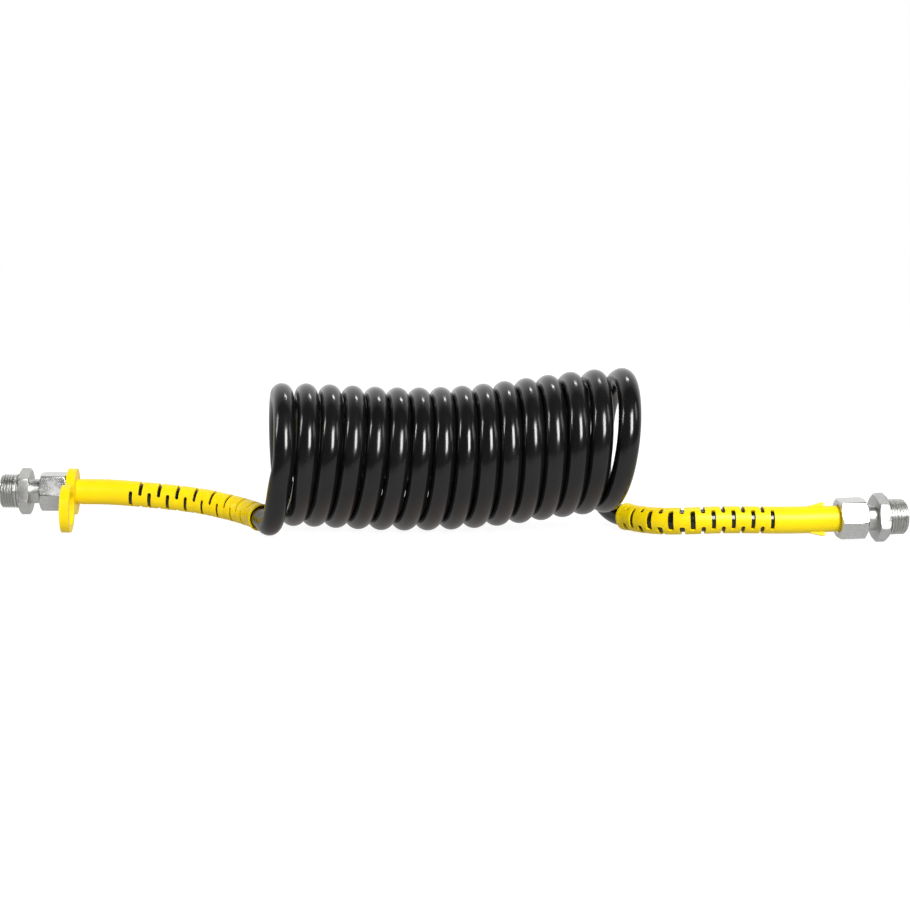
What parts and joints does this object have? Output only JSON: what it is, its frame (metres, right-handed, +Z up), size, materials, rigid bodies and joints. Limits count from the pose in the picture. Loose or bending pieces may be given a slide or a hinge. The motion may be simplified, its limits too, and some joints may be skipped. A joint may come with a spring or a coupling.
{
  "type": "coiled air brake hose",
  "caption": "Coiled black nylon air hose with yellow kink sleeves, a two-ring hose clip and zinc-plated compression fittings with male stud threads.",
  "frame": {"origin": "on the floor, under the middle of the box round the fittings, sleeves and clip", "axes": "+Z up, +X along the coil from the end with the clip to the other end, +Y away from the viewer"},
  "size_m": [0.5214, 0.0876, 0.0969],
  "materials": {
    "zinc_steel": "bright zinc plate, satin on the flats and bright on the threads",
    "brass": "machined",
    "yellow_plastic": "satin moulded polyethylene",
    "black_nylon": "glossy extruded nylon"
  },
  "bodies": {
    "left_end": {"left_stud_adapter": "zinc_steel", "left_cutting_ring": "brass", "left_tube_insert": "brass", "left_kink_sleeve": "yellow_plastic", "hose_left_tail": "black_nylon", "hose_coil": "black_nylon"},
    "left_nut": {"left_union_nut": "zinc_steel"},
    "clip": {"hose_clip": "yellow_plastic"},
    "right_end": {"right_stud_adapter": "zinc_steel", "right_cutting_ring": "brass", "right_tube_insert": "brass", "right_kink_sleeve": "yellow_plastic", "hose_right_tail": "black_nylon"},
    "right_nut": {"right_union_nut": "zinc_steel"}
  },
  "joints": [
    {"name": "coil_extend", "type": "slide", "parent": "left_end", "child": "right_end", "axis": [1, 0, 0], "range_m": [0, 2], "stiffness_N_per_m": 60, "deforming": ["hose_coil"]},
    {"name": "left_nut_turn", "type": "hinge", "parent": "left_end", "child": "left_nut", "pos_m": [-0.22928, 0.02056, 0.01964], "axis": [0.9875, 0.152, -0.0419], "range_deg": [0, 90]},
    {"name": "clip_swivel", "type": "hinge", "parent": "left_end", "child": "clip", "pos_m": [-0.21891, 0.02216, 0.0192], "axis": [0.9875, 0.152, -0.0419], "continuous": true},
    {"name": "right_nut_turn", "type": "hinge", "parent": "right_end", "child": "right_nut", "pos_m": [0.23082, -0.0224, 0.01315], "axis": [-0.9994, 0, -0.0349], "range_deg": [0, 90]}
  ]
}
